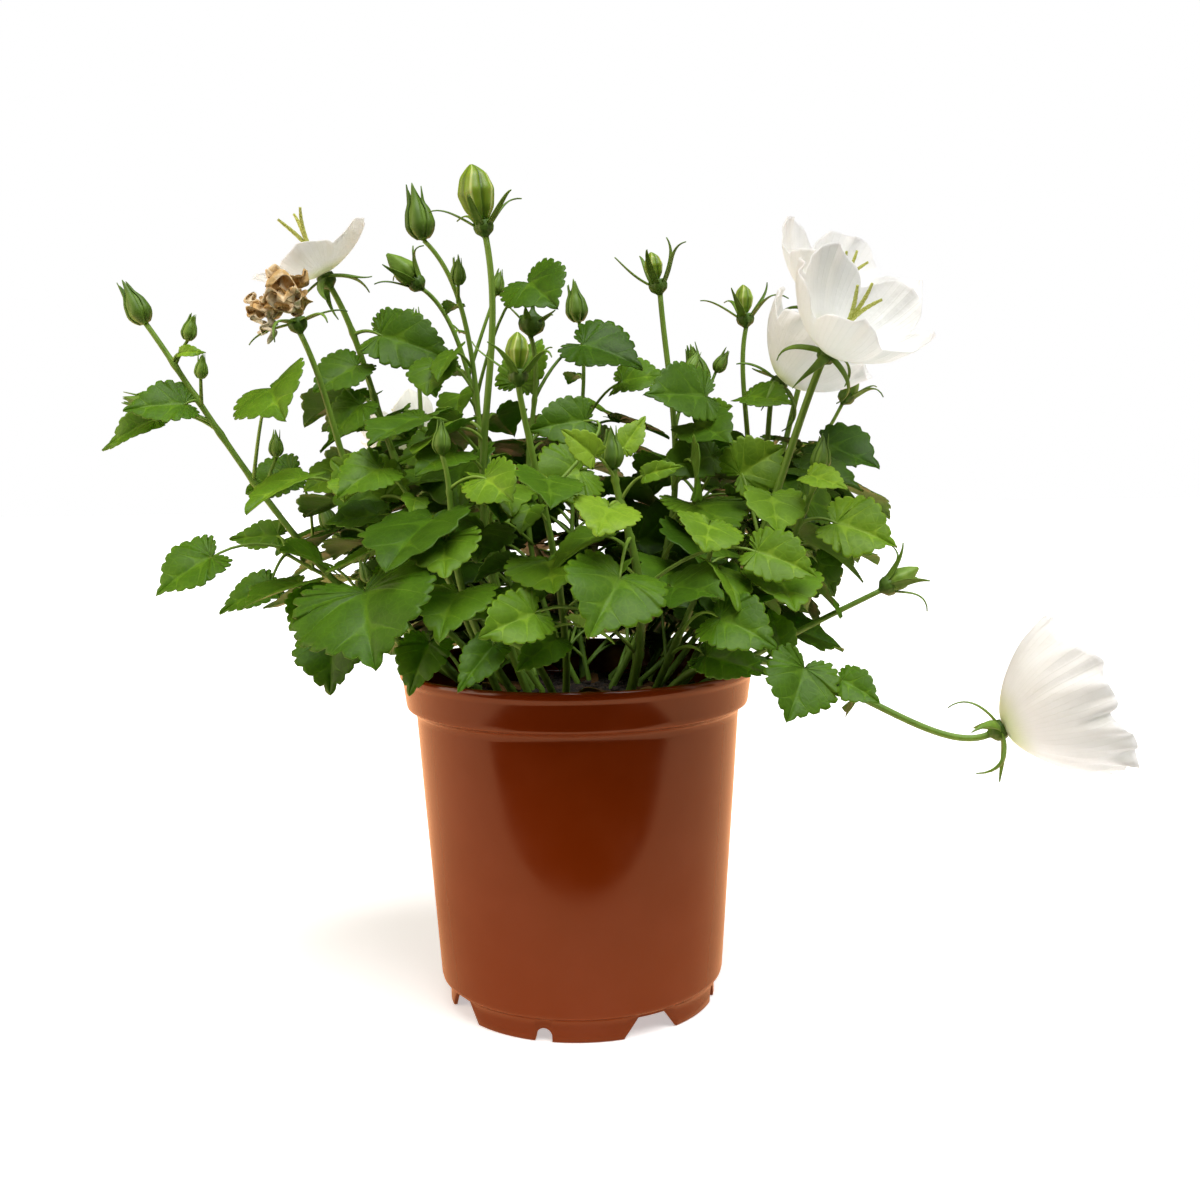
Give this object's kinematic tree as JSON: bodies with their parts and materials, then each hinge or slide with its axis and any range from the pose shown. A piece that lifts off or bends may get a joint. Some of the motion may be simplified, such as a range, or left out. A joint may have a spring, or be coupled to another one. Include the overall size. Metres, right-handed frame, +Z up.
{
  "type": "potted carpathian bellflower",
  "caption": "Bushy bellflower in a round plastic nursery pot: wide white cup blooms, lime and green buds and toothed heart-shaped leaves on thin leaning stems",
  "frame": {"origin": "on the ground, on the pot's axis", "axes": "+Z up along the pot's axis, front of the plant towards -Y, +X to the right as seen from the front"},
  "size_m": [0.3223, 0.1761, 0.2752],
  "materials": {
    "pot": "satin-gloss terracotta brown injection-moulded polypropylene, thin walled",
    "soil": "dark moist peat compost with crumbs and dry leaf scraps",
    "foliage": "fresh green leaves, stalks, stems, calyces and closed buds, softly satin, with paler veins",
    "petal": "thin white petals, faintly veined and translucent, greenish yellow at the base",
    "lime_bud": "folded lime green petals with paler ribs",
    "style": "pale yellow-green style with grainy stigma arms",
    "withered": "dry tan-brown crumpled petals"
  },
  "bodies": {
    "root": {"pot": "pot", "soil": "soil", "stem_far_left": "foliage", "stem_spent": "foliage", "petals_spent": "withered", "stem_saucer": "foliage", "petals_saucer": "petal", "style_saucer": "style", "stem_upright_left": "foliage", "stem_nodding_left": "foliage", "stem_tall_lime": "foliage", "bud_tall_lime": "lime_bud", "stem_centre_lime": "foliage", "bud_centre_lime": "lime_bud", "stem_capsule": "foliage", "stem_rear_bud": "foliage", "stem_right_lime": "foliage", "bud_right_lime": "lime_bud", "stem_right_lime_low": "foliage", "bud_right_lime_low": "lime_bud", "stem_bell_low": "foliage", "petals_bell_low": "petal", "style_bell_low": "style", "stem_cup_front": "foliage", "petals_cup_front": "petal", "style_cup_front": "style", "stem_cup_rear": "foliage", "petals_cup_rear": "petal", "style_cup_rear": "style", "stem_thin_right": "foliage", "stem_bright_shoot": "foliage", "stem_right_bud": "foliage", "stem_far_right": "foliage", "petals_far_right": "petal", "style_far_right": "style", "stem_twin_buds": "foliage", "stem_front_shoot": "foliage", "stem_left_shoot": "foliage", "stem_cream_rear": "foliage", "petals_cream_rear": "petal", "style_cream_rear": "style", "stem_rear_left_bud": "foliage", "stem_big_leaf_shoot": "foliage", "stem_low_left": "foliage", "stem_low_front": "foliage", "stem_mid_right": "foliage", "stem_left_fan": "foliage", "stem_back_left": "foliage", "stem_back_middle": "foliage", "stem_back_right": "foliage"}
  },
  "joints": []
}
